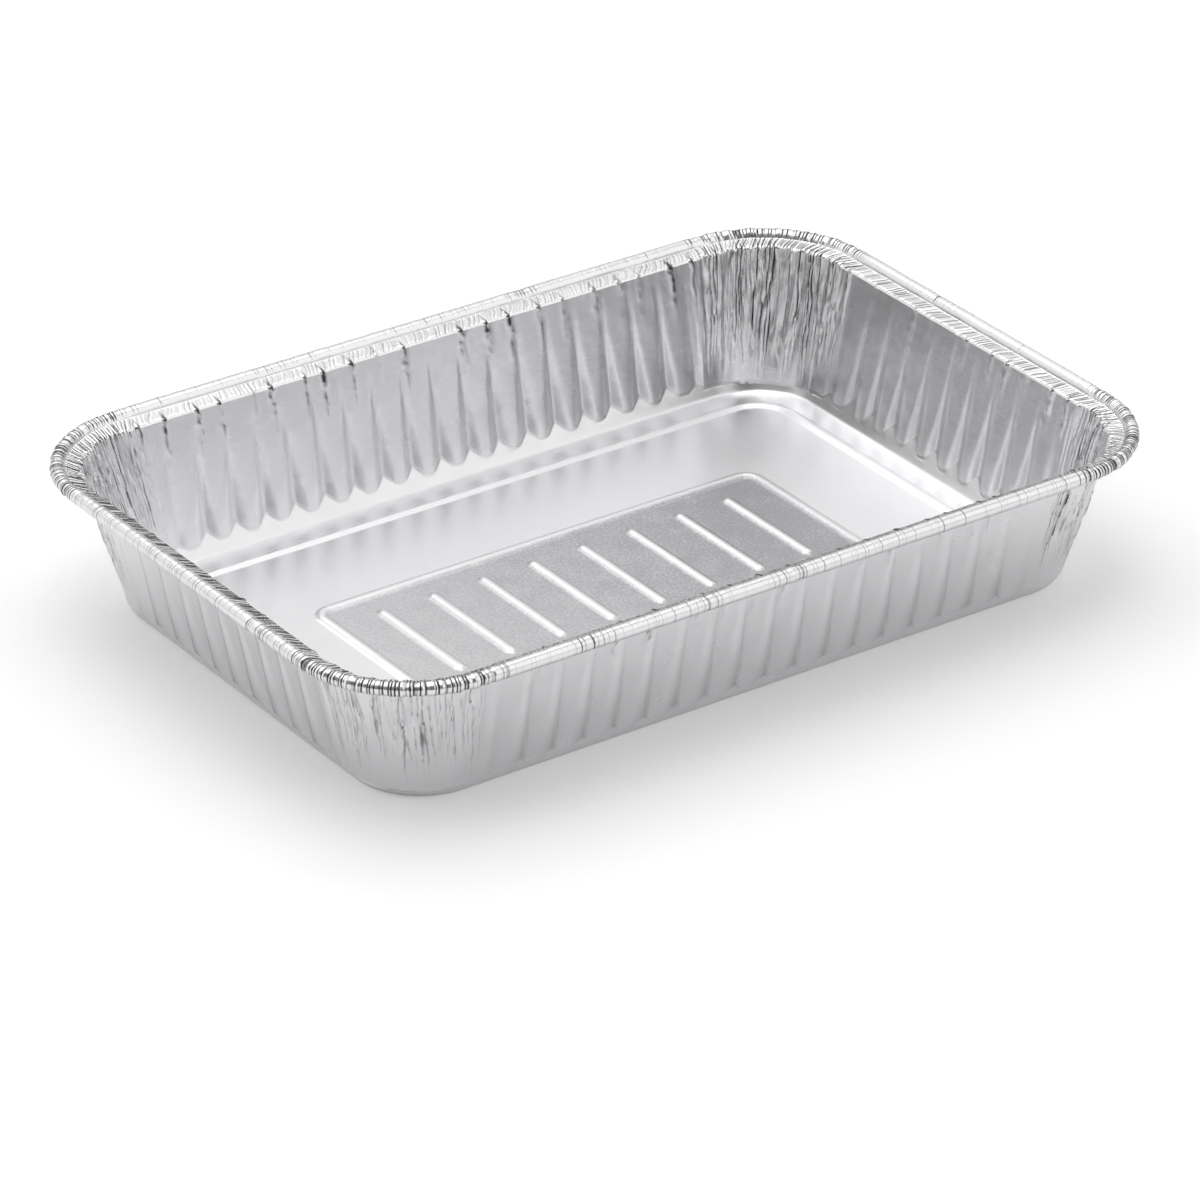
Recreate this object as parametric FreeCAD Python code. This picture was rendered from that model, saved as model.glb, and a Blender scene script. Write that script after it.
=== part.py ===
"""Pressed aluminium foil drip pan with a rolled rim and grooved walls.

One sheet of foil is drawn over a block into a shallow rectangular pan.  The
model is that one sheet: an outer form, less an inner form a foil thickness
inside it, joined to the flange and the rolled edge.

Millimetres, +X along the pan, +Z up, origin on the ground under the middle.
"""
import FreeCAD, Part

import math
import os

from FreeCAD import Vector

# Driving dimensions --------------------------------------------------------
FOIL = 0.1                 # sheet thickness
HEIGHT = 54.6              # ground to the top of the rolled edge

RIM_LENGTH = 330.0         # over the rolled edge
RIM_WIDTH = 228.0
RIM_CORNER = 43.0          # plan radius of the rim's outer edge
ROLL_RADIUS = 2.7          # outside of the rolled edge
ROLL_TURN = 330.0          # degrees that the edge is rolled through
ROLL_FLATS = 11            # creases leave the roll in narrow flats
ROLL_ROOT = 0.6            # bend from the flange up into the roll
FLANGE_WIDTH = 3.3         # flat between the wall's top bend and the roll
WALL_TOP_BEND = 1.5
BEND_FLATS = 2             # flats in each small bend

END_SETBACK = 19.4         # rim's outer edge to the groove tips at the foot, ends
SIDE_SETBACK = 17.9        # the same at the long sides
FOOT_CORNER = 29.7         # plan radius through the groove tips
FOOT_RISE = 7.8            # height of the groove tips above the ground
BEVEL_SLOPE = 58.0         # bevel between wall and floor, degrees
BEVEL_BEND = 2.0           # bend from the bevel to the floor

GROOVE_PITCH = 12.1        # spacing of the V grooves along every wall
GROOVE_DEPTH = 1.8         # at the foot, fading to nothing at the wall's top
END_GROOVE_DEPTH = 0.9     # the shallower last groove of each row
END_GROOVE_RUN = 3.5       # from the last groove's tip to the plain wall
GROOVE_MARGIN = 5.5        # least wall left between the last tip and a corner

GATHERS = 8                # soft pleats round each corner
GATHER_DEPTH = 0.7         # at half height, nothing at the foot and the top

RING_INSET = 15.4          # floor bead, centre line in from the groove tips
RING_WIDTH = 4.6
FRAME_LENGTH = 181.0       # embossed frame, centre line of its bead
FRAME_WIDTH = 72.2
FRAME_CORNER = 5.0
BEAD_WIDTH = 3.8           # frame bead and ribs
BEAD_HEIGHT = 1.0          # all floor beads
BEAD_SLOPE = 40.0          # their flanks, degrees
RIB_COUNT = 8              # plain stiffening ribs inside the frame
RIB_PITCH = 20.5
RIB_LENGTH = 50.0
RIB_END_FLATS = 4          # flats round each end of a rib

UP = Vector(0, 0, 1)
QUARTER = 90               # degrees turned by each corner


# Rounded rectangles ----------------------------------------------------------
def corner_centres(length, width, corner):
    """Axes of a rounded rectangle's corners, from +X +Y, anticlockwise."""
    half_x = length / 2 - corner
    half_y = width / 2 - corner
    return [Vector(sx * half_x, sy * half_y, 0) for sx, sy in ((1, 1), (-1, 1), (-1, -1), (1, -1))]


def about(centre, reach, angle):
    """The point `reach` from a corner's axis, in a plan direction in degrees."""
    turn = math.radians(angle)
    return centre + Vector(reach * math.cos(turn), reach * math.sin(turn), 0)


def plan_arc(centre, reach, start, end):
    """An arc about a corner's axis, at the height of `centre`."""
    return Part.Arc(*[about(centre, reach, angle) for angle in (start, (start + end) / 2, end)]).toShape()


def line(start, end):
    return Part.LineSegment(start, end).toShape()


def rounded_outline(centres, reach, z):
    """A plain rounded rectangle as a wire."""
    edges = []
    for index, centre in enumerate(centres):
        start = QUARTER * index
        edges.append(plan_arc(centre + UP * z, reach, start, start + QUARTER))
        side = [about(place + UP * z, reach, start + QUARTER) for place in (centre, centres[(index + 1) % 4])]
        edges.append(line(*side))
    return Part.Wire(edges)


def carried_round(points, centres):
    """A solid: a closed section carried round a rounded rectangle.

    The section's points are (reach from the axis of each corner, height).
    """
    corners = [Vector(reach, 0, z) for reach, z in points]
    section = Part.Face(Part.makePolygon(corners + corners[:1]))
    solids = []
    for index, centre in enumerate(centres):
        placed = section.copy()
        placed.rotate(Vector(0, 0, 0), UP, QUARTER * index)
        placed.translate(centre)
        solids.append(placed.revolve(centre, UP, QUARTER))
        solids.append(placed.extrude(centres[index - 1] - centre))
    return solids[0].multiFuse(solids[1:]).removeSplitter()


def bend_points(reach, z, radius, start, end, flats):
    """Points of a section along a bend about (reach, z), by its angles in degrees."""
    turns = [math.radians(start + (end - start) * step / flats) for step in range(flats + 1)]
    return [(reach + radius * math.cos(turn), z + radius * math.sin(turn)) for turn in turns]


FOOT_CENTRES = corner_centres(RIM_LENGTH - 2 * END_SETBACK, RIM_WIDTH - 2 * SIDE_SETBACK, FOOT_CORNER)
RIM_CENTRES = corner_centres(RIM_LENGTH, RIM_WIDTH, RIM_CORNER)


# Flange and rolled edge --------------------------------------------------------
ROLL_REACH = RIM_CORNER - ROLL_RADIUS
ROLL_Z = HEIGHT - ROLL_RADIUS
ROOT_REACH = ROLL_REACH - ROLL_RADIUS - ROLL_ROOT
FLANGE_Z = ROLL_Z - ROLL_ROOT              # upper face of the flange
BEND_REACH = ROOT_REACH - FLANGE_WIDTH
BEND_Z = FLANGE_Z - FOIL - WALL_TOP_BEND
PLAIN_FOOT_REACH = FOOT_CORNER - GROOVE_DEPTH
WALL_RUN = END_SETBACK + GROOVE_DEPTH - (RIM_CORNER - BEND_REACH) - WALL_TOP_BEND
WALL_DRAFT = math.atan(WALL_RUN / (BEND_Z - FOOT_RISE))
WALL_TOP = BEND_Z + WALL_TOP_BEND * math.sin(WALL_DRAFT)


def rim_face(roll, root, bend):
    """One face of the foil, from the wall's top bend to the edge of the roll."""
    start = 180 - math.degrees(math.asin((WALL_TOP - BEND_Z) / bend))
    points = bend_points(BEND_REACH, BEND_Z, bend, start, 90, BEND_FLATS)
    points += bend_points(ROOT_REACH, ROLL_Z, root, -90, 0, BEND_FLATS)
    return points + bend_points(ROLL_REACH, ROLL_Z, roll, 180, 180 - ROLL_TURN, ROLL_FLATS)[1:]


RIM_UPPER_FACE = rim_face(ROLL_RADIUS, ROLL_ROOT, WALL_TOP_BEND + FOIL)
RIM_LOWER_FACE = rim_face(ROLL_RADIUS - FOIL, ROLL_ROOT + FOIL, WALL_TOP_BEND)
WALL_TOP_REACH = RIM_LOWER_FACE[0][0]
WALL_INSET = WALL_TOP_REACH - RIM_UPPER_FACE[0][0]


def rim():
    """Flange and roll, one foil thickness, all round the pan."""
    return carried_round(RIM_UPPER_FACE + RIM_LOWER_FACE[::-1], RIM_CENTRES)


# Grooved walls -------------------------------------------------------------------
def groove_tips(half_run):
    """Places and depths of the groove tips along a side, from end to end."""
    count = int((half_run - GROOVE_MARGIN) / GROOVE_PITCH)
    depths = [GROOVE_DEPTH] * count + [END_GROOVE_DEPTH]
    half = [(number * GROOVE_PITCH, depth) for number, depth in enumerate(depths)]
    return [(-place, depth) for place, depth in half[:0:-1]] + half


def groove_stations(half_run):
    """Places and depths along a side that give each column of foil a rounded face."""
    tips = groove_tips(half_run)
    quarter = GROOVE_PITCH / 4
    end = tips[-1][0] + END_GROOVE_RUN
    stations = [(-end, 0), tips[0]]
    for (place, depth), (following, next_depth) in zip(tips, tips[1:]):
        stations.append((place + quarter, depth / 4))
        stations.append(((place + following) / 2, 0))
        stations.append((following - quarter, next_depth / 4))
        stations.append((following, next_depth))
    return stations + [(end, 0)]


def side_edges(start, end, outward, stations, depth_share):
    """One side of the wall, `depth_share` of the full groove depth outwards."""
    along = (end - start).normalize()
    middle = (start + end) / 2
    points = [middle + along * place + outward * (depth * depth_share) for place, depth in stations]
    points = [start] + points + [end]
    return [line(*pair) for pair in zip(points, points[1:])]


def corner_edges(centre, reach, start, gather):
    """One corner of the wall: plain arcs, or pleats that reach `gather` inwards."""
    fold = QUARTER / GATHERS / 2
    turns = [start + fold * step for step in range(2 * GATHERS + 1)]
    if not gather:
        return [plan_arc(centre, reach, *pair) for pair in zip(turns, turns[1:])]
    points = [about(centre, reach - gather * (step % 2), turn) for step, turn in enumerate(turns)]
    return [line(*pair) for pair in zip(points, points[1:])]


def wall_outline(z, inset, gather):
    """The wall at one height, `inset` inside its outer face, as a closed wire."""
    rise = (z - FOOT_RISE) / (WALL_TOP - FOOT_RISE)
    reach = PLAIN_FOOT_REACH + (WALL_TOP_REACH - PLAIN_FOOT_REACH) * rise - inset
    centres = [foot + (top - foot) * rise + UP * z for foot, top in zip(FOOT_CENTRES, RIM_CENTRES)]
    edges = []
    for index, centre in enumerate(centres):
        following = (index + 1) % 4
        turned = QUARTER * (index + 1)
        edges += corner_edges(centre, reach, turned - QUARTER, gather)
        stations = groove_stations(FOOT_CENTRES[index].distanceToPoint(FOOT_CENTRES[following]) / 2)
        outward = about(Vector(0, 0, 0), 1, turned)
        side = [place + outward * reach for place in (centre, centres[following])]
        edges += side_edges(*side, outward, stations, 1 - rise)
    return Part.Wire(edges)


def walled_block(inset):
    """A solid block with the wall's outside, from the ground to the top bend."""
    levels = ((0, 0), ((FOOT_RISE + WALL_TOP) / 2, GATHER_DEPTH), (WALL_TOP, 0))
    return Part.makeLoft([wall_outline(z, inset, gather) for z, gather in levels], True, True)


# Bevel and floor --------------------------------------------------------------------
def bevelled_block(inset):
    """A solid block with the floor and the bevel round it, `inset` inside them."""
    slope = math.radians(BEVEL_SLOPE)

    def bevel_reach(z, inside):
        return FOOT_CORNER + (z - FOOT_RISE) / math.tan(slope) - inside / math.sin(slope)

    bend_reach = bevel_reach(BEVEL_BEND, BEVEL_BEND)
    end = BEVEL_SLOPE - 90
    section = bend_points(bend_reach, BEVEL_BEND, BEVEL_BEND - inset, -90, end, BEND_FLATS)
    section.append((bevel_reach(WALL_TOP, inset), WALL_TOP))
    return Part.makeLoft([rounded_outline(FOOT_CENTRES, reach, z) for reach, z in section], True, True)


def flank(z, growth):
    """How far a bead's flank stands out from its edge at the ground."""
    slope = math.radians(BEAD_SLOPE)
    return growth / math.sin(slope) - z / math.tan(slope)


def bead_ring(centres, corner, width, growth):
    """A bead round a rounded rectangle, and as deep again below the ground."""
    top = BEAD_HEIGHT + growth
    half_base = width / 2 + flank(-BEAD_HEIGHT, growth)
    half_crest = width / 2 + flank(top, growth)
    right = [(corner + half_crest, top), (corner + half_base, -BEAD_HEIGHT)]
    left = [(corner - half_base, -BEAD_HEIGHT), (corner - half_crest, top)]
    return carried_round(right + left, centres)


def rib(place, growth):
    """A short bead with round ends across the frame, `place` along the pan."""
    outlines = []
    for z in (-BEAD_HEIGHT, BEAD_HEIGHT + growth):
        half = BEAD_WIDTH / 2 + flank(z, growth)
        straight = (RIB_LENGTH - BEAD_WIDTH) / 2
        ends = bend_points(place, straight, half, 0, 180, RIB_END_FLATS)
        ends += bend_points(place, -straight, half, 180, 360, RIB_END_FLATS)
        corners = [Vector(x, y, z) for x, y in ends]
        outlines.append(Part.makePolygon(corners + corners[:1]))
    return Part.makeLoft(outlines, True, True)


def floor_beads(growth):
    """Everything embossed upwards in the floor."""
    ring = bead_ring(FOOT_CENTRES, FOOT_CORNER - RING_INSET, RING_WIDTH, growth)
    frame_centres = corner_centres(FRAME_LENGTH, FRAME_WIDTH, FRAME_CORNER)
    frame = bead_ring(frame_centres, FRAME_CORNER, BEAD_WIDTH, growth)
    places = [(number - (RIB_COUNT - 1) / 2) * RIB_PITCH for number in range(RIB_COUNT)]
    return [ring, frame] + [rib(place, growth) for place in places]


# The pan ----------------------------------------------------------------------------
def block(wall_inset, floor_inset):
    """The block that one face of the foil is drawn over."""
    return walled_block(wall_inset).common(bevelled_block(floor_inset)).cut(floor_beads(floor_inset))


def drip_pan():
    body = block(0, 0).cut(block(WALL_INSET, FOIL))
    return body.fuse(rim()).removeSplitter()


os.makedirs("parts", exist_ok=True)
drip_pan().exportStep("parts/drip_pan.step")
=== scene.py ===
"""Foil drip pan: one sheet of aluminium foil pressed into a shallow pan."""

import math

import bpy
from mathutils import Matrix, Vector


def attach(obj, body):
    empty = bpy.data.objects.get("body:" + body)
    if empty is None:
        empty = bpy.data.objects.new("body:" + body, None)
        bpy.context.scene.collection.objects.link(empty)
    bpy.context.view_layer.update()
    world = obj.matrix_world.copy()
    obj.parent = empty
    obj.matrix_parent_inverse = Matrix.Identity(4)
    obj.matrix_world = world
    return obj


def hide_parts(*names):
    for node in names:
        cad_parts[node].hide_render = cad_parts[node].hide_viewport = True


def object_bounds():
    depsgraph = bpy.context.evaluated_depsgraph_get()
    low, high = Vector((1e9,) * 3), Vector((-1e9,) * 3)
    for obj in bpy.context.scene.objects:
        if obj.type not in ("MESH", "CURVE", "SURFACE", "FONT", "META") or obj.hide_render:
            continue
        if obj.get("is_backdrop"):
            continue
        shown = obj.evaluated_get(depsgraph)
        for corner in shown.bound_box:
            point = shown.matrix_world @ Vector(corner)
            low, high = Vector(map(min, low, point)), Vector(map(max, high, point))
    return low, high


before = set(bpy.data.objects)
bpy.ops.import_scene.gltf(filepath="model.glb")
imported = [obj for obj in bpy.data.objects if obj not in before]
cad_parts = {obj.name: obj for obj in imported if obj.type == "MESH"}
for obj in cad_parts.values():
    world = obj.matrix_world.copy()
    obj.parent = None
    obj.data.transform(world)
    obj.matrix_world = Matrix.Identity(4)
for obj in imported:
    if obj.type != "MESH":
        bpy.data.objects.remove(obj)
cad_low, cad_high = (list(corner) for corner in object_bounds())


# Camera, floor and studio -----------------------------------------------------
# The pan stands on a plain white sweep of painted board, under a large softbox.
# White cards stand round it in a dim room, and make the foil's bright and grey
# parts.  Places are metres here, and the cards' headings and edges degrees.
CAMERA_PLACE = (-1.1191, -1.6035, 1.0443)
CAMERA_PITCH = 0.4932                             # radians below level
CAMERA_YAW = 0.6098
CAMERA_LENS = 195.4
CAMERA_FILM = 36.0
CAMERA_RANGE = 50.0
DEGREE = math.pi / 180
BLACK = (0, 0, 0, 1)
WHITE = (1, 1, 1, 1)
SWEEP_PAINT = (0.93, 0.93, 0.935, 1)
SWEEP_SIZE = 12.0
SWEEP_LIFT = 0.18                                 # glow that the camera sees
MIRRORED_LIFT = 0.05                              # glow that mirrors see
ROOM_GREY = 0.11
BACKDROP_EDGE = (3.0, 6.0)                        # its white fades into the room's grey
CARD_BLUR = 4.0
CARDS = (                                         # heading, width, low and high edge, light
    (48, 114, 16, 60, 0.84),
    (-48, 70, 8, 64, 1.06),
    (135, 76, 6, 52, 0.90),
    (-145, 50, 24, 60, 0.28),
    (0, 500, 72, 100, 0.95),
)


class Wire:
    """A socket of a node tree; sums on wires add the nodes that work them out."""

    def __init__(self, tree, socket=None):
        self.tree = tree
        self.socket = socket

    def add(self, kind, sockets=(), output=0, **settings):
        """A node of any kind: its settings first, then numbers or wires for its sockets."""
        made = self.tree.nodes.new(kind)
        for name, value in settings.items():
            setattr(made, name, value)
        pairs = sockets.items() if isinstance(sockets, dict) else enumerate(sockets)
        for place, value in pairs:
            if isinstance(value, Wire):
                self.tree.links.new(value.socket, made.inputs[place])
            else:
                made.inputs[place].default_value = value
        return Wire(self.tree, made.outputs[output])

    def other(self, output):
        """Another output of the same node."""
        return Wire(self.tree, self.socket.node.outputs[output])

    def math(self, operation, *values):
        """A Math node on this wire, and on more numbers or wires where it takes them."""
        return self.add("ShaderNodeMath", (self,) + values, operation=operation)

    def __add__(self, value):
        return self.math("ADD", value)

    def __sub__(self, value):
        return self.math("SUBTRACT", value)

    def __rsub__(self, value):
        return self.add("ShaderNodeMath", (value, self), operation="SUBTRACT")

    def __mul__(self, value):
        return self.math("MULTIPLY", value)

    def __truediv__(self, value):
        return self.math("DIVIDE", value)

    def __pow__(self, value):
        return self.math("POWER", value)

    def __mod__(self, value):
        return self.math("FLOORED_MODULO", value)

    __radd__ = __add__
    __rmul__ = __mul__

    def at_most(self, value):
        return self.math("MINIMUM", value)

    def at_least(self, value):
        return self.math("MAXIMUM", value)

    def size(self):
        return self.math("ABSOLUTE")

    def rise(self, low, high):
        """0 below `low`, 1 above `high`, and straight between."""
        return self.add("ShaderNodeMapRange", (self, low, high, 0.0, 1.0), clamp=True)

    def ease(self, low, high):
        """0 below `low`, 1 above `high`, and smooth between."""
        ends = (self, low, high, 0.0, 1.0)
        return self.add("ShaderNodeMapRange", ends, interpolation_type="SMOOTHSTEP")

    def to(self, first, second):
        """The number `first` where this is 0, `second` where it is 1."""
        return self.add("ShaderNodeMix", {0: self, 2: first, 3: second}, data_type="FLOAT")

    def tint(self, first, second):
        """The colour `first` where this is 0, `second` where it is 1."""
        colours = {0: self, 6: first, 7: second}
        return self.add("ShaderNodeMix", colours, output=2, data_type="RGBA")

    def noise(self, vector, scale, detail=2.0):
        """Soft noise that wavers about a half."""
        sockets = {"Vector": vector, "Scale": scale, "Detail": detail}
        return self.add("ShaderNodeTexNoise", sockets)

    def vector(self, x, y, z):
        return self.add("ShaderNodeCombineXYZ", (x, y, z))


def make_sweep():
    """The matt white board; the camera and mirrors see it a little whiter than it is lit."""
    bpy.ops.mesh.primitive_plane_add(size=SWEEP_SIZE)
    floor = bpy.context.object
    floor.name = "studio_floor"
    material = bpy.data.materials.new("white sweep")
    material.use_nodes = True
    shader = material.node_tree.nodes["Principled BSDF"]
    shader.inputs["Base Color"].default_value = SWEEP_PAINT
    shader.inputs["Roughness"].default_value = 0.75
    shader.inputs["Specular IOR Level"].default_value = 0.2
    rays = Wire(material.node_tree).add("ShaderNodeLightPath", output="Is Camera Ray")
    mirrored = rays.other("Is Glossy Ray").at_least(rays.other("Is Transmission Ray"))
    lift = (rays * SWEEP_LIFT).at_least(mirrored * MIRRORED_LIFT)
    glow = lift.tint(BLACK, WHITE)
    material.node_tree.links.new(glow.socket, shader.inputs["Emission Color"])
    shader.inputs["Emission Strength"].default_value = 1.0
    floor.data.materials.append(material)
    floor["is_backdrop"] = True


def make_world():
    """White cards stand round the pan in a dim room, above a low white backdrop."""
    world = bpy.data.worlds.new("white studio")
    bpy.context.scene.world = world
    world.use_nodes = True
    tree = world.node_tree
    direction = Wire(tree).add("ShaderNodeTexCoord", output="Generated")
    x = direction.add("ShaderNodeSeparateXYZ", (direction,))
    compass = x.other("Y").math("ARCTAN2", x) * (1 / DEGREE)
    height = x.other("Z").math("ARCSINE") * (1 / DEGREE)
    light = height.rise(*BACKDROP_EDGE).to(1.0, ROOM_GREY)
    for heading, wide, low, high, level in CARDS:
        aside = ((compass - heading + 180) % 360.0 - 180).size()
        inside = 1 - aside.ease(wide / 2 - CARD_BLUR, wide / 2 + CARD_BLUR)
        inside = inside * height.ease(low - CARD_BLUR, low + CARD_BLUR)
        inside = inside * (1 - height.ease(high - CARD_BLUR, high + CARD_BLUR))
        light = light.at_least(inside * level)
    tree.links.new(light.socket, tree.nodes["Background"].inputs["Strength"])
    tree.nodes["Background"].inputs["Color"].default_value = WHITE


def make_lamp(name, place, size, power):
    """A softbox that points at the pan; its size is metres and its power watts."""
    lamp = bpy.data.lights.new(name, "AREA")
    lamp.shape = "RECTANGLE"
    lamp.size, lamp.size_y = size
    lamp.energy = power
    thing = bpy.data.objects.new(name, lamp)
    bpy.context.collection.objects.link(thing)
    thing.location = place
    thing.rotation_euler = (-thing.location).to_track_quat("-Z", "Y").to_euler()


def make_camera():
    """A long lens that looks down over the pan's near left corner."""
    camera = bpy.data.cameras.new("camera")
    camera.lens = CAMERA_LENS
    camera.sensor_width = CAMERA_FILM
    camera.clip_end = CAMERA_RANGE
    thing = bpy.data.objects.new("camera", camera)
    bpy.context.collection.objects.link(thing)
    thing.location = CAMERA_PLACE
    thing.rotation_euler = (math.pi / 2 - CAMERA_PITCH, 0, -CAMERA_YAW)
    bpy.context.scene.camera = thing


make_sweep()
make_world()
make_lamp("softbox", place=(-0.2, 0.35, 1.6), size=(2.2, 1.8), power=15)
make_lamp("side_light", place=(1.5, 0.9, 0.9), size=(1.2, 0.9), power=1)
make_camera()
bpy.context.scene.view_settings.view_transform = "Standard"


# Floor ----------------------------------------------------------------------
# The flat bottom of the pan, pressed from the same sheet of aluminium foil as
# everything else.  It runs in from the foot of the bevel and carries the raised
# bead ring that stiffens it.
MM = 0.001                                        # sizes are mm until a shape's last step
FOIL = 0.1
FOIL_BRIGHT = (0.87, 0.87, 0.88, 1)
FOIL_MATT = (0.43, 0.43, 0.442, 1)
# Painted shade: the colour that creases, pleats, dents and wall grooves are darkened towards.
PAINTED_CREASE_SHADE = (0.07, 0.07, 0.073, 1)
UNDER_CREASE = 0.4                                # share of that painted shade where the foil faces down
# Painted shade along the wall grooves: its share on the down-facing outer face and on the inner
# face.
FOLD_OUTSIDE = 0.36
FOLD_INSIDE = 0.16
RIM_BAND = (0.046, 0.05)                          # metres up, above which the painted crease shade is full on both faces
CRUMPLE_BAND = (0.022, 0.045)                     # metres up, where the walls crumple
CLOUDS, GRAIN, RIPPLES, PATCHES = 90.0, 1000.0, 260.0, 45.0
ROLLING_LINES = (60.0, 2500.0, 2500.0)            # the sheet was rolled lengthwise
CRUMPLES = (420.0, 420.0, 170.0)
BRIGHT_ROUGHNESS = 0.18
CLOUD_ROUGHNESS, SATIN_ROUGHNESS, MATT_ROUGHNESS = 0.14, 0.09, 0.12
BUMP_HEIGHT = 0.00012                             # metres
SHARP_CREASE = math.radians(50)
RIM_LENGTH, RIM_WIDTH, HEIGHT = ((high - low) / MM for low, high in zip(cad_low, cad_high))
FOOT_LENGTH = 291.2
FOOT_WIDTH = 192.2
FOOT_CORNER = 29.7
FOOT_RISE = 7.8
BEVEL_SLOPE = math.radians(58)
FLOOR_BEND = 0.5
FLOOR_EDGE_REACH = 26.5
FLOOR_ROWS = 48
RING_INSET = 15.4
RING_WIDTH = 4.6
BEAD_HEIGHT = 1.0
GROOVE_PITCH = 12.1
GROOVE_MARGIN = 5.5                               # from the last groove to the corner, at least
CORNER_FADE = 10.0                                # the corner's creases fade out over this run
NOTCH_MARGIN = 0.2                                # share of a pitch kept clear at each end
CORE_X = FOOT_LENGTH / 2 - FOOT_CORNER
CORE_Y = FOOT_WIDTH / 2 - FOOT_CORNER


def last_groove(run):
    """Number of a side's last groove, counted from its middle."""
    return int((run - GROOVE_MARGIN) / GROOVE_PITCH)


class Layout:
    """How many columns of faces go round the pan, and where they stand."""

    def __init__(self, step, plain, corner):
        self.step = step                          # spacing along the grooved sides
        self.plain = plain                        # columns in each plain end
        self.corner = corner                      # columns round each corner
        self.grooved_x = self.grooved(CORE_X)
        self.grooved_y = self.grooved(CORE_Y)
        self.quarter = self.grooved_x + self.grooved_y + 2 * plain + corner
        self.columns = 4 * self.quarter

    def grooved(self, run):
        """Columns from a side's middle to its last groove."""
        return int(round(last_groove(run) * GROOVE_PITCH / self.step))


class Loop:
    """The columns of a grid wrapped round a rounded rectangle.

    Each point stands at a place on the core rectangle through the corners' axes
    and looks outwards from there.  `place` is its distance round the pan, `share`
    how far round its corner it lies, `crushed` 1 at the end that was knocked about
    most and 0 at the other, and `near_corner` 1 in the corners.
    """

    def __init__(self, column, layout, core_x, core_y, reach):
        turn = (column / layout.quarter).math("FLOOR") % 4.0
        step = column % layout.quarter
        odd = turn % 2.0
        ahead = odd.to(step, layout.quarter - step)
        behind = layout.quarter - ahead
        self.core_y = self.along(ahead, layout, layout.grooved_y, core_y)
        self.core_x = self.along(behind, layout, layout.grooved_x, core_x)
        start = layout.grooved_y + layout.plain
        self.share = ahead.rise(start, start + layout.corner)
        angle = self.share * (math.pi / 2)
        self.out_x = angle.math("COSINE")
        self.out_y = angle.math("SINE")
        self.sign_x = 1 - 2 * (turn - 1.5).size().math("LESS_THAN", 1.0)
        self.sign_y = 1 - 2 * turn.math("GREATER_THAN", 1.5)
        quarter = core_x + core_y + reach * math.pi / 2
        run = self.core_y + angle * reach + (core_x - self.core_x)
        self.length = 4 * quarter
        self.place = turn * quarter + odd.to(run, quarter - run)
        self.crushed = 0.5 - self.sign_x * self.out_x * 0.5
        past_x = (self.core_x - core_x).rise(-CORNER_FADE, 0.0)
        past_y = (self.core_y - core_y).rise(-CORNER_FADE, 0.0)
        self.near_corner = past_x * past_y

    @staticmethod
    def along(count, layout, grooved, core):
        """Distance from a side's middle: even steps, then the plain end up to the core's."""
        plain = (count - grooved).rise(0.0, float(layout.plain))
        even = count.at_most(float(grooved)) * layout.step
        return even + plain * (core - grooved * layout.step)

    def across(self, reach):
        """Where the point `reach` outwards from the core lies, along and across the pan."""
        x = self.sign_x * (self.core_x + self.out_x * reach)
        y = self.sign_y * (self.core_y + self.out_y * reach)
        return x, y

    def point(self, reach, z):
        """That point at height `z`, in metres."""
        x, y = self.across(reach)
        return x.vector(x * MM, y * MM, z * MM)

    def plan(self, reach, z):
        """The same point in millimetres, for noise to read."""
        x, y = self.across(reach)
        return x.vector(x, y, z)


def dice(number, seed):
    """A random value from 0 to 1 for each whole number."""
    return number.add("ShaderNodeTexWhiteNoise", {"W": number + seed}, noise_dimensions="1D")


def facets(loop, pitch, warp, seed):
    """Flat facets between sharp creases, from 0 to 1, along the pan's whole outline.

    The creases are about `pitch` apart and `warp`, counted in creases, bends them.
    """
    count = round(loop.length / pitch)
    crease = loop.place * (count / loop.length) + warp
    first = crease.math("FLOOR")
    here = dice(first % float(count), seed)
    ahead = dice((first + 1) % float(count), seed)
    return (crease - first).to(here, ahead)


def notches(loop, pitch, width, warp, seed, least=0.0):
    """Narrow V creases, `least` to 1 deep, one at a random place in each `pitch`."""
    count = round(loop.length / pitch)
    cell = loop.place * (count / loop.length) + warp
    number = cell.math("FLOOR")
    spot = dice(number % float(count), seed) * (1 - 2 * NOTCH_MARGIN)
    gap = (cell - number - NOTCH_MARGIN - spot).size() * pitch
    depth = dice(number % float(count), seed + 500.0) * (1 - least) + least
    return (1 - gap / (width / 2)).at_least(0.0) * depth


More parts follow.
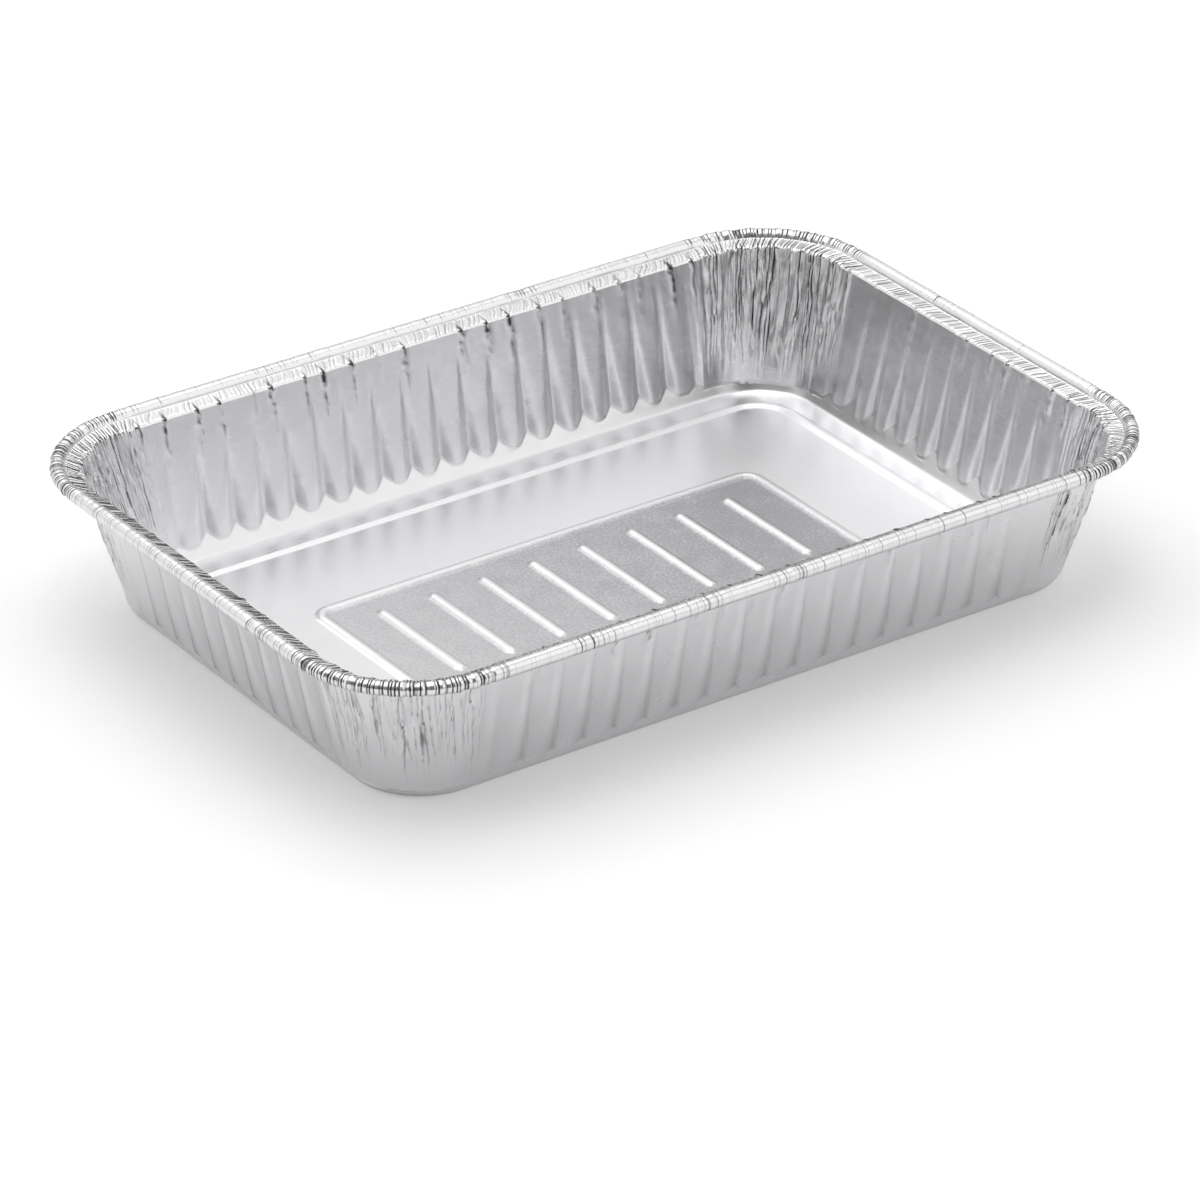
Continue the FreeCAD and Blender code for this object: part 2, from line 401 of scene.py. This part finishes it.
def make_piece(name, columns, rows, shape, sizes):
    """A sheet of the pan: a flat grid put in place by `shape(column, row, size)`.

    `sizes` become the tree's named inputs.  `shape` gives each point's place and its marks:
    "crease" is how much painted shade darkens it, "fold" how deep in a wall groove it lies,
    for painted shade there, and "satin" and "matt" how dull it is.
    """
    tree = bpy.data.node_groups.new(name + " shape", "GeometryNodeTree")
    tree.interface.new_socket("Geometry", in_out="OUTPUT", socket_type="NodeSocketGeometry")
    sizes = {"Columns": columns, "Rows": rows, **sizes}
    keys = {}
    for label in sizes:
        socket = tree.interface.new_socket(label, in_out="INPUT", socket_type="NodeSocketFloat")
        keys[label] = socket.identifier
    given = tree.nodes.new("NodeGroupInput")
    size = {label: Wire(tree, given.outputs[label]) for label in sizes}
    wire = Wire(tree)
    across, along = size["Columns"], size["Rows"]
    grid = wire.add(
        "GeometryNodeMeshGrid",
        {"Size X": across, "Size Y": along, "Vertices X": across + 1, "Vertices Y": along + 1},
        output="Mesh",
    )
    flat = wire.add("ShaderNodeSeparateXYZ", (wire.add("GeometryNodeInputPosition"),))
    column = (flat + across / 2).math("ROUND")
    row = (flat.other("Y") + along / 2).math("ROUND")
    place, marks = shape(column, row, size)
    sheet = grid
    for mark, value in marks.items():
        sheet = wire.add(
            "GeometryNodeStoreNamedAttribute",
            {"Geometry": sheet, "Name": mark, "Value": value},
            data_type="FLOAT",
            domain="POINT",
        )
    sheet = wire.add("GeometryNodeSetPosition", {"Geometry": sheet, "Position": place})
    sheet = wire.add("GeometryNodeMergeByDistance", {"Geometry": sheet, "Distance": 1e-6})
    sheet = wire.add("GeometryNodeSetShadeSmooth", {"Geometry": sheet, "Shade Smooth": True})
    sheet = wire.add("GeometryNodeRealizeInstances", {"Geometry": sheet})
    sheet = wire.add("GeometryNodeSetMaterial", {"Geometry": sheet, "Material": FOIL_FINISH})
    tree.links.new(sheet.socket, tree.nodes.new("NodeGroupOutput").inputs[0])
    maker = bpy.data.objects.new(name + "_maker", bpy.data.meshes.new(name + " seed"))
    bpy.context.collection.objects.link(maker)
    pressed = maker.modifiers.new("pressed shape", "NODES")
    pressed.node_group = tree
    for label, value in sizes.items():
        pressed[keys[label]] = float(value)
    gauge = maker.modifiers.new("foil thickness", "SOLIDIFY")
    gauge.thickness = FOIL * MM
    gauge.offset = -1
    graph = bpy.context.evaluated_depsgraph_get()
    mesh = bpy.data.meshes.new_from_object(maker.evaluated_get(graph))
    bpy.data.objects.remove(maker)
    mesh.set_sharp_from_angle(angle=SHARP_CREASE)
    piece = bpy.data.objects.new(name, mesh)
    bpy.context.collection.objects.link(piece)
    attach(piece, "root")
    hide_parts("drip_pan")


def make_foil():
    """Satin aluminium with rolling lines, a cloudy sheen, crumples high up, and painted shade in
    its creases and grooves.
    """
    material = bpy.data.materials.new("satin foil")
    material.use_nodes = True
    tree = material.node_tree
    shader = tree.nodes["Principled BSDF"]
    wire = Wire(tree)
    place = wire.add("ShaderNodeTexCoord", output="Object")
    height = wire.add("ShaderNodeSeparateXYZ", (place,)).other("Z")
    satin = wire.add("ShaderNodeAttribute", attribute_name="satin", output="Fac")
    # Painted shade in creases, pleats, dents and the roll's marks; weaker where the foil faces
    # down, except high on the rim.
    crease = wire.add("ShaderNodeAttribute", attribute_name="crease", output="Fac").rise(0.1, 0.7)
    normal = wire.add("ShaderNodeNewGeometry", output="True Normal")
    facing = wire.add("ShaderNodeSeparateXYZ", (normal,)).other("Z").rise(-0.05, 0.05)
    open_crease = facing.at_least(height.rise(*RIM_BAND))
    crease = crease * (open_crease * (1 - UNDER_CREASE) + UNDER_CREASE)
    # Painted shade along the wall grooves, stronger on the outer face.
    fold = wire.add("ShaderNodeAttribute", attribute_name="fold", output="Fac")
    crease = crease.at_least(fold * (FOLD_OUTSIDE - facing * (FOLD_OUTSIDE - FOLD_INSIDE)))
    matt = wire.add("ShaderNodeAttribute", attribute_name="matt", output="Fac")
    cloud = place.noise(place, CLOUDS, 4.0)
    grain = place.noise(place, GRAIN, 3.0)
    bare = (matt * (grain * 1.1 + cloud * 0.5)).tint(FOIL_BRIGHT, FOIL_MATT)
    # The foil's own tone, darkened by the painted shade.
    colour_with_painted_shade = crease.tint(bare, PAINTED_CREASE_SHADE)
    tree.links.new(colour_with_painted_shade.socket, shader.inputs["Base Color"])
    roughness = cloud * CLOUD_ROUGHNESS + BRIGHT_ROUGHNESS + satin * SATIN_ROUGHNESS
    roughness = roughness + matt * grain * MATT_ROUGHNESS
    tree.links.new(roughness.socket, shader.inputs["Roughness"])
    shader.inputs["Metallic"].default_value = 1.0
    lengthwise = wire.add("ShaderNodeMapping", {"Vector": place, "Scale": ROLLING_LINES})
    rolling = place.noise(lengthwise, 1.0)
    ripple = place.noise(place, RIPPLES, 3.0)
    patch = place.noise(place, PATCHES, 1.0).ease(0.52, 0.66) * height.rise(*CRUMPLE_BAND)
    upright = wire.add("ShaderNodeMapping", {"Vector": place, "Scale": CRUMPLES})
    crumple = place.noise(upright, 1.0, 1.0) * patch
    relief = rolling * 0.25 + ripple + crumple * 2.5
    bumps = {"Height": relief, "Distance": BUMP_HEIGHT, "Strength": 0.5}
    bump = wire.add("ShaderNodeBump", bumps)
    tree.links.new(bump.socket, shader.inputs["Normal"])
    return material


FOIL_FINISH = make_foil()
FLOOR_LAYOUT = Layout(step=1.1, plain=6, corner=24)


def bead(distance, width, height):
    """Height of a raised bead, rounder than a parabola, at a distance from its centre line."""
    share = 1 - (distance / (width / 2)).at_most(1.0) ** 2.0
    return height * share * (1.5 - 0.5 * share)


def bevel_reach(z):
    """How far out the bevel lies at height `z`."""
    return FOOT_CORNER + (z - FOOT_RISE) / math.tan(BEVEL_SLOPE)


def floor_shape(column, row, size):
    """Outer part of the floor: the bend at the bevel's foot and the bead ring."""
    reach = row * (FLOOR_EDGE_REACH / FLOOR_ROWS)
    loop = Loop(column, FLOOR_LAYOUT, CORE_X, CORE_Y, FOOT_CORNER)
    lift = (reach - bevel_reach(0)) * (math.tan(BEVEL_SLOPE) / 2)
    bend = lift + (lift ** 2.0 + FLOOR_BEND ** 2 / 4).math("SQRT")
    ring_gap = (reach - (FOOT_CORNER - RING_INSET)).size()
    ring = bead(ring_gap, size["Ring width"], size["Ring height"])
    return loop.point(reach, bend + ring), {"satin": 1.0}


floor_sizes = {"Ring width": RING_WIDTH, "Ring height": BEAD_HEIGHT}
make_piece("pan_floor", FLOOR_LAYOUT.columns, FLOOR_ROWS, floor_shape, floor_sizes)


# Floor panel ------------------------------------------------------------------
# The middle of the floor, in the same foil.  The press embosses a rectangular
# frame with plain stiffening ribs inside it, and the die's grain leaves the foil
# between them matt.
PANEL_STEP = 0.8
FRAME_LENGTH = 181.0
FRAME_WIDTH = 72.2
FRAME_CORNER = 5.0
BEAD_WIDTH = 3.8
RIB_COUNT = 8
RIB_PITCH = 20.5
RIB_LENGTH = 50.0
FRAME_SHINE = (0.5, 1.5)                          # from bright bead to matt foil
RIB_SHINE = (1.0, 2.0)
MATT_SLANT = 0.0035                               # how much darker (painted shade) and rougher it gets, each mm along
PANEL_COLUMNS = round(2 * CORE_X / PANEL_STEP)
PANEL_ROWS = round(2 * CORE_Y / PANEL_STEP)


def panel_shape(column, row, size):
    """The flat panel, its frame bead and its ribs."""
    x = CORE_X - column * (2 * CORE_X / PANEL_COLUMNS)
    y = row * (2 * CORE_Y / PANEL_ROWS) - CORE_Y
    past_x = x.size() - (FRAME_LENGTH / 2 - FRAME_CORNER)
    past_y = y.size() - (FRAME_WIDTH / 2 - FRAME_CORNER)
    outside = (past_x.at_least(0.0) ** 2.0 + past_y.at_least(0.0) ** 2.0).math("SQRT")
    frame_gap = outside + past_x.at_least(past_y).at_most(0.0) - FRAME_CORNER
    pitch, wide, high = size["Rib pitch"], size["Bead width"], size["Bead height"]
    number = (x / pitch + RIB_COUNT / 2).math("FLOOR") + 0.5
    number = number.at_least(0.5).at_most(RIB_COUNT - 0.5)
    rib_x = x - (number - RIB_COUNT / 2) * pitch
    rib_y = (y.size() - (size["Rib length"] - wide) / 2).at_least(0.0)
    rib_gap = (rib_x ** 2.0 + rib_y ** 2.0).math("SQRT")
    z = bead(frame_gap.size(), wide, high).at_least(bead(rib_gap, wide, high))
    matt = (0 - frame_gap).rise(*FRAME_SHINE) * rib_gap.rise(*RIB_SHINE)
    # Painted shade: the panel's colour darkens towards +x; its roughness rises with it.
    matt = matt * (1 + x * MATT_SLANT)
    return x.vector(x * MM, y * MM, z * MM), {"satin": 1.0, "matt": matt}


panel_sizes = {
    "Bead width": BEAD_WIDTH,
    "Bead height": BEAD_HEIGHT,
    "Rib pitch": RIB_PITCH,
    "Rib length": RIB_LENGTH,
}
make_piece("pan_panel", PANEL_COLUMNS, PANEL_ROWS, panel_shape, panel_sizes)


# Walls ----------------------------------------------------------------------
# Drafted walls of the same foil, drawn up from the bevel.  Outward V grooves
# stiffen the sides and fade upwards; the spare foil in the corners gathers in
# upright creases.
RIM_CORNER = 43.0
GROOVE_DEPTH = 1.8
GROOVE_FLANK = 0.2                                # share of the depth in the wide, flat V
GROOVE_CUT = 3.8                                  # half width of the narrow V inside it
FLANK_FADE = 0.92
CUT_FADE = 1.1
END_GROOVE_SHARE = 0.5
END_GROOVE_RUN = 3.5
FOLD_PITCH, FOLD_HEIGHT = 3.2, 2.0                # broad folds of the corners
PLEAT_PITCH, PLEAT_HEIGHT = 1.5, 1.1              # sharper pleats on them
RIDGE_PITCH, RIDGE_WIDTH, RIDGE_HEIGHT = 2.2, 0.9, 0.8
VALLEY_PITCH, VALLEY_WIDTH, VALLEY_DEPTH = 1.9, 0.8, 0.8
# Painted shade in the valleys of the corner creases.
VALLEY_SHADE = 1.2
SWAY, CROSS = 4.0, 5.0                            # how far creases lean and cross
SLANT = 0.45                                      # how fast they do so up the wall
LOWEST_CREASE, CREASE_SPREAD = -4.0, 30.0         # where a crease ends above the floor
CREASE_FADE = (-4.0, 14.0)
DENT_PITCH, DENT_WIDTH = 11.0, 1.7
DENT_FOOT = 31.0
# Painted shade in the pinches, stronger at the end that was knocked about most.
DENT_SHADE, CRUSHED_DENT_SHADE = 0.5, 2.0
WAVE_HEIGHT = 0.8
WALL_TOP = 50.0
WALL_TOP_REACH = 32.2
WALL_ROWS = 33
BEVEL_ROWS = 5
WALL_LAYOUT = Layout(step=1.21, plain=22, corner=130)
RIM_CORE_X = RIM_LENGTH / 2 - RIM_CORNER
RIM_CORE_Y = RIM_WIDTH / 2 - RIM_CORNER
# The wall and the flange share these, so that their creases meet.
CREASES = {"Crease depth": 1.0, "Dent depth": 1.3, "Wall top": WALL_TOP, "Seed": 100}


def groove(place, run, rise):
    """Depth of the wall grooves, 0 to 1, at a distance from a side's middle.

    Each is a narrow V cut into a wide, nearly flat one.  Both taper as they rise,
    and the cut ends just under `rise` 1.  A side's last groove is a small plain V.
    """
    last = last_groove(run)
    tip = (place / GROOVE_PITCH).math("ROUND").at_most(float(last))
    gap = (place - tip * GROOVE_PITCH).size()
    flank = (1 - rise * FLANK_FADE - gap / (GROOVE_PITCH / 2)).at_least(0.0) * GROOVE_FLANK
    cut = (1 - rise * CUT_FADE - gap / GROOVE_CUT).at_least(0.0) * (1 - GROOVE_FLANK)
    end = (1 - gap / END_GROOVE_RUN).at_least(0.0) * (1 - rise) * END_GROOVE_SHARE
    return (tip - (last - 0.5)).math("GREATER_THAN", 0.0).to(flank + cut, end)


def wrinkles(edge, z, size):
    """How far the gathered foil of the corners stands out, and how much painted shade darkens its
    creases.
    """
    seed = size["Seed"]
    spot = edge.plan(RIM_CORNER, z * SLANT)
    sway = spot.noise(spot, 0.05) * SWAY
    cross = spot.noise(spot, 0.10) * CROSS
    folds = facets(edge, FOLD_PITCH, sway, seed)
    pleats = facets(edge, PLEAT_PITCH, cross + sway, seed + 100)
    ridges = notches(edge, RIDGE_PITCH, RIDGE_WIDTH, cross, seed + 200)
    valleys = notches(edge, VALLEY_PITCH, VALLEY_WIDTH, sway - cross, seed + 250)
    end = spot.noise(edge.plan(RIM_CORNER, 0.0), 0.16) * CREASE_SPREAD + LOWEST_CREASE
    live = (z - end).rise(*CREASE_FADE) * edge.near_corner * size["Crease depth"]
    patch = spot.noise(spot, 0.09).ease(0.35, 0.6)
    small = (pleats - 0.5) * PLEAT_HEIGHT - ridges * RIDGE_HEIGHT
    out = (folds - 0.5) * FOLD_HEIGHT + small * patch + valleys * VALLEY_DEPTH
    return out * live, valleys * live * VALLEY_SHADE


def dents(edge, z, size):
    """How deep the pinches lie that run down the straight sides, and how much painted shade
    darkens them.
    """
    spot = edge.plan(RIM_CORNER, z)
    sway = (spot.noise(spot, 0.22) - 0.5) * 0.35
    mark = notches(edge, DENT_PITCH, DENT_WIDTH, sway, size["Seed"] + 300)
    live = (z - DENT_FOOT).rise(0.0, WALL_TOP - DENT_FOOT) * (1 - edge.near_corner)
    # Painted shade in the pinches.
    shade = DENT_SHADE + edge.crushed * CRUSHED_DENT_SHADE
    return (0 - mark) * live * size["Dent depth"], mark * live * shade


def groove_depth(foot, rise, size):
    """How deep the grooves of the ends and the long sides are, `rise` up the wall."""
    share = foot.share
    sides = groove(foot.core_y, CORE_Y, rise), groove(foot.core_x, CORE_X, rise)
    straight = 1 - share.math("GREATER_THAN", 0.001) * share.math("LESS_THAN", 0.999)
    return share.math("GREATER_THAN", 0.5).to(*sides) * (size["Groove depth"] * straight)


def wall_shape(column, row, size):
    """Wall above the groove feet, bevel below them."""
    plain = FOOT_CORNER - GROOVE_DEPTH
    foot = Loop(column, WALL_LAYOUT, CORE_X, CORE_Y, FOOT_CORNER)
    edge = Loop(column, WALL_LAYOUT, RIM_CORE_X, RIM_CORE_Y, RIM_CORNER)
    depth = groove_depth(foot, 0.0, size)
    lean = foot.out_x * (RIM_CORE_X - CORE_X) + (WALL_TOP_REACH - plain)
    lean = lean + foot.out_y * (RIM_CORE_Y - CORE_Y)
    height = WALL_TOP - FOOT_RISE
    # A groove pushes the wall outwards, so it meets the bevel higher than the land beside it.
    meet = (depth - GROOVE_DEPTH) / (1 / math.tan(BEVEL_SLOPE) - (lean - depth) / height)
    down = (1 - row / BEVEL_ROWS).at_least(0.0)
    up = ((row - BEVEL_ROWS) / WALL_ROWS).at_least(0.0)
    foot_z = meet + FOOT_RISE
    wall_z = foot_z + (WALL_TOP - foot_z) * up
    rise = (wall_z - FOOT_RISE) / height
    depth = groove_depth(foot, rise.at_least(0.0), size)
    low_z = (FLOOR_EDGE_REACH - FOOT_CORNER) * math.tan(BEVEL_SLOPE) + FOOT_RISE
    z = wall_z + (low_z - wall_z) * down
    folded, painted_fold_shade = wrinkles(edge, wall_z, size)
    dented, painted_dent_shade = dents(edge, wall_z, size)
    # The wall stands in slight waves, which die out towards its stiff top edge.
    waves = (row.noise(edge.plan(RIM_CORNER, wall_z), 0.07) - 0.5) * WAVE_HEIGHT * (1 - up)
    wall_reach = plain + (WALL_TOP_REACH - plain) * rise + depth + folded + dented + waves
    reach = wall_reach + (FLOOR_EDGE_REACH - wall_reach) * down
    shift = rise * (1 - down)
    core_x = CORE_X + shift * (RIM_CORE_X - CORE_X)
    core_y = CORE_Y + shift * (RIM_CORE_Y - CORE_Y)
    loop = Loop(column, WALL_LAYOUT, core_x, core_y, RIM_CORNER)
    marks = {
        "satin": (BEVEL_ROWS + 1 - row).rise(0.0, 1.0),
        # crease and fold carry painted shade for the foil's colour.
        "crease": painted_fold_shade + painted_dent_shade,
        "fold": (depth / GROOVE_DEPTH) ** 2.0 * (1 - down * 3).at_least(0.0),
    }
    return loop.point(reach, z), marks


wall_sizes = {"Groove depth": GROOVE_DEPTH, **CREASES}
make_piece("pan_wall", WALL_LAYOUT.columns, WALL_ROWS + BEVEL_ROWS, wall_shape, wall_sizes)


# Flange ---------------------------------------------------------------------
# The wall's foil bends over into a narrow flange, which turns up into the roll.
# Pressing pleats it all round, deepest at the corners.  Painted shade darkens the
# pleats, most at the end that was knocked about most.
ROLL_RADIUS = 2.7
ROLL_ROOT = 0.6
FLANGE_WIDTH = 3.3
FLANGE_LIFT = 0.6
WALL_TOP_BEND = 1.5
RIM_LAYOUT = Layout(step=WALL_LAYOUT.step / 3, plain=36, corner=296)
BEND_ROWS = 4
FLANGE_ROWS = 6
ROOT_ROWS = 4
TUCK_PITCH, TUCK_WIDTH = 1.5, 0.95                # fine pleats across the flange
SHALLOWEST_TUCK = 0.3
TUCK_SWAY, TUCK_SLANT = 5.0, 0.35
# Painted shade in the pleats: a base share, and more at the ends, at the crushed end and in the
# corners.
TUCK_SHADE, END_SHADE, CRUSHED_SHADE, CORNER_SHADE = 0.45, 0.6, 1.5, 0.6
TILT_PITCH, TILT_HEIGHT = 4.0, 0.3                # its uneven top
ROLL_REACH = RIM_CORNER - ROLL_RADIUS
ROLL_Z = HEIGHT - ROLL_RADIUS
ROOT_REACH = ROLL_REACH - ROLL_RADIUS - ROLL_ROOT
BEND_REACH = ROOT_REACH - FLANGE_WIDTH
BEND_Z = ROLL_Z - ROLL_ROOT - FOIL - WALL_TOP_BEND


def flange_shape(column, row, size):
    """Top bend of the wall, flange, and the bend up into the roll."""
    loop = Loop(column, RIM_LAYOUT, RIM_CORE_X, RIM_CORE_Y, RIM_CORNER)
    bend = (row / BEND_ROWS).at_most(1.0)
    root = ((row - BEND_ROWS - FLANGE_ROWS) / ROOT_ROWS).at_least(0.0)
    across = row.rise(BEND_ROWS, BEND_ROWS + FLANGE_ROWS)
    start = math.asin((WALL_TOP - BEND_Z) / WALL_TOP_BEND)
    bend_angle = start + bend * (math.pi / 2 - start)
    root_angle = root * (math.pi / 2)
    root_radius = ROLL_ROOT + FOIL
    reach = BEND_REACH - bend_angle.math("COSINE") * WALL_TOP_BEND + across * FLANGE_WIDTH
    reach = reach + root_angle.math("SINE") * root_radius
    z = BEND_Z + bend_angle.math("SINE") * WALL_TOP_BEND + across * FLANGE_LIFT
    z = z + (1 - root_angle.math("COSINE")) * (root_radius - FLANGE_LIFT)
    folded, painted_fold_shade = wrinkles(loop, size["Wall top"], size)
    dented, painted_dent_shade = dents(loop, size["Wall top"], size)
    fade = 1 - (row / (BEND_ROWS + FLANGE_ROWS)).at_most(1.0)
    spot = loop.plan(reach, 0.0)
    lean = spot.noise(spot, 0.05) * TUCK_SWAY + reach * TUCK_SLANT
    tucks = notches(loop, TUCK_PITCH, TUCK_WIDTH, lean, size["Seed"] + 600, SHALLOWEST_TUCK)
    tilts = facets(loop, TILT_PITCH, lean * 0.5, size["Seed"] + 650)
    live = row.rise(0.0, 3.0) * (1 - root)
    strength = (1 + loop.near_corner) * size["Pleat depth"]
    z = z - (tucks * strength + tilts * TILT_HEIGHT) * live
    # Painted shade in the pleats, with the wall's painted crease shade fading across the flange.
    shade = TUCK_SHADE + loop.out_x ** 2.0 * END_SHADE + loop.crushed ** 3.0 * CRUSHED_SHADE
    shade = tucks * (shade + loop.near_corner * CORNER_SHADE)
    crease = (painted_fold_shade + painted_dent_shade) * fade + shade * live
    return loop.point(reach + (folded + dented) * fade, z), {"crease": crease}


flange_rows = BEND_ROWS + FLANGE_ROWS + ROOT_ROWS
flange_sizes = {"Pleat depth": 0.3, **CREASES}
make_piece("pan_flange", RIM_LAYOUT.columns, flange_rows, flange_shape, flange_sizes)


# Rolled edge ----------------------------------------------------------------
# The foil's cut edge is rolled outwards and under, which gives the rim its bead
# and hides the sharp edge.  Short bars and lines crowd it in the corners, where
# the foil is gathered, and thin rings cross it all round.
ROLL_ROWS = 14
ROLL_TURN = math.radians(330)
BAR_PITCH = 1.3
LINE_PITCH, LINE_WIDTH, LINE_SHARE = 1.4, 0.8, 0.6
HOOP_PITCH, HOOP_WIDTH = 7.0, 0.9
SWELL_PITCH, SWELL_HEIGHT = 6.0, 0.08
BARS_EVERYWHERE = 0.04                            # share of their depth on the straight runs
CROWDED = 0.4                                     # share of it where bars crowd there
# Painted shade in the roll's rings, lines and bars.
HOOP_SHADE, LINE_SHADE, BAR_SHADE = 0.7, 4.0, 2.5


def roll_shape(column, row, size):
    """The roll, from the flange's bend over the top and round to the cut edge."""
    loop = Loop(column, RIM_LAYOUT, RIM_CORE_X, RIM_CORE_Y, RIM_CORNER)
    angle = math.pi - row * (ROLL_TURN / ROLL_ROWS)
    spot = loop.plan(RIM_CORNER, row * 0.8)
    jag = (spot.noise(spot, 0.2) - 0.5) * 0.7
    crowd = spot.noise(loop.plan(RIM_CORNER, 0.0), 0.03).ease(0.5, 0.65)
    crowd = crowd.at_least(loop.crushed * 0.4) * CROWDED
    strength = BARS_EVERYWHERE + loop.near_corner.at_least(crowd) * size["Bar depth"]
    bars = facets(loop, BAR_PITCH, jag, size["Seed"])
    lines = notches(loop, LINE_PITCH, LINE_WIDTH, jag, size["Seed"] + 50)
    hoops = notches(loop, HOOP_PITCH, HOOP_WIDTH, jag * 0.1, size["Seed"] + 100) ** 2.0
    swell = facets(loop, SWELL_PITCH, 0.0, size["Seed"] + 150)
    sunk = bars * strength + lines * strength * LINE_SHARE + hoops * size["Ring depth"]
    live = row.rise(0.0, 2.0)
    radius = size["Roll radius"] - FOIL - (sunk + swell * SWELL_HEIGHT) * live
    reach = ROLL_REACH + angle.math("COSINE") * radius
    z = ROLL_Z + angle.math("SINE") * radius
    # Painted shade in the rings, the lines and the tops of the bars.
    high_bars = (bars - 0.6).at_least(0.0)
    crease = hoops * HOOP_SHADE + lines * strength * LINE_SHADE + high_bars * strength * BAR_SHADE
    return loop.point(reach, z), {"crease": crease * live}


roll_sizes = {"Roll radius": ROLL_RADIUS, "Bar depth": 0.5, "Ring depth": 0.13, "Seed": 800}
make_piece("pan_roll", RIM_LAYOUT.columns, ROLL_ROWS, roll_shape, roll_sizes)
